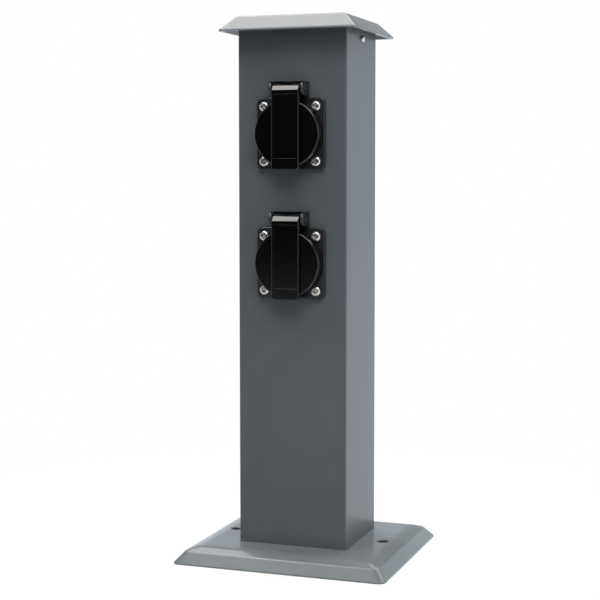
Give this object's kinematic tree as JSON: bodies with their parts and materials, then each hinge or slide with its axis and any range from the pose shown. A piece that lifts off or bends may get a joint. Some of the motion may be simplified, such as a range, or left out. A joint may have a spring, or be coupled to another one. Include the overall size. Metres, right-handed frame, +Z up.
{
  "type": "garden socket post",
  "caption": "Square-cornered steel post on a bevelled foot under a hipped hood, with earthed panel outlets behind sprung lids, to bring mains power into a garden.",
  "frame": {"origin": "middle of the foot's underside", "axes": "+Z up, the outlets face -Y, +X to the right seen from the front"},
  "size_m": [0.156, 0.14, 0.385],
  "materials": {
    "column_paint": "satin powder coat, anthracite",
    "grey_paint": "satin powder coat, light grey",
    "black_plastic": "glossy, black",
    "black_lid": "glossy, black",
    "dark_plastic": "matt, dark grey",
    "pale_plastic": "matt, white",
    "rubber": "matt, black",
    "bright_screws": "bright nickel plating",
    "steel": "zinc plated",
    "brass": "plain brass",
    "live_insulation": "smooth, brown",
    "neutral_insulation": "smooth, blue",
    "earth_insulation": "smooth, green and yellow"
  },
  "bodies": {
    "post": {"column": "column_paint", "hood": "grey_paint", "hood_seal": "rubber", "hood_screws": "bright_screws", "foot": "grey_paint", "foot_screws": "steel", "foot_washers": "steel", "foot_nuts": "steel", "cable_grommet": "rubber", "terminal_plate": "steel", "terminal_plate_screws": "steel", "cable_clamp": "dark_plastic", "cable_clamp_screws": "steel", "cable_clamp_nuts": "steel", "terminal_block": "pale_plastic", "terminal_block_sleeves": "brass", "terminal_block_wire_screws": "steel", "terminal_block_fixings": "steel", "earth_stud": "brass", "earth_lug": "steel", "earth_nut": "brass", "bond_wire": "earth_insulation", "live_link_wire": "live_insulation", "neutral_link_wire": "neutral_insulation", "earth_link_wire": "earth_insulation", "live_feed_wire": "live_insulation", "neutral_feed_wire": "neutral_insulation", "earth_feed_wire": "earth_insulation", "upper_housing": "black_plastic", "upper_flange_gasket": "rubber", "upper_recess_floor": "black_plastic", "upper_contact_carrier": "dark_plastic", "upper_earth_bracket": "brass", "upper_live_contact": "brass", "upper_neutral_contact": "brass", "upper_terminal_screws": "steel", "upper_floor_screw": "steel", "upper_flange_screws": "bright_screws", "upper_flange_nuts": "steel", "upper_hinge_pin": "steel", "upper_lid_spring": "steel", "lower_housing": "black_plastic", "lower_flange_gasket": "rubber", "lower_recess_floor": "black_plastic", "lower_contact_carrier": "dark_plastic", "lower_earth_bracket": "brass", "lower_live_contact": "brass", "lower_neutral_contact": "brass", "lower_terminal_screws": "steel", "lower_floor_screw": "steel", "lower_flange_screws": "bright_screws", "lower_flange_nuts": "steel", "lower_hinge_pin": "steel", "lower_lid_spring": "steel"},
    "upper_lid": {"upper_lid": "black_lid", "upper_lid_seal": "rubber"},
    "lower_lid": {"lower_lid": "black_lid", "lower_lid_seal": "rubber"}
  },
  "joints": [
    {"name": "upper_lid_hinge", "type": "hinge", "parent": "post", "child": "upper_lid", "pos_m": [0, -0.0433, 0.3338], "axis": [-1, 0, 0], "range_deg": [0, 100], "stiffness_Nm_per_rad": 0.02, "springref_deg": -34.38, "deforming": ["upper_lid_spring"]},
    {"name": "lower_lid_hinge", "type": "hinge", "parent": "post", "child": "lower_lid", "pos_m": [0, -0.0433, 0.2438], "axis": [-1, 0, 0], "range_deg": [0, 100], "stiffness_Nm_per_rad": 0.02, "springref_deg": -34.38, "deforming": ["lower_lid_spring"]}
  ]
}
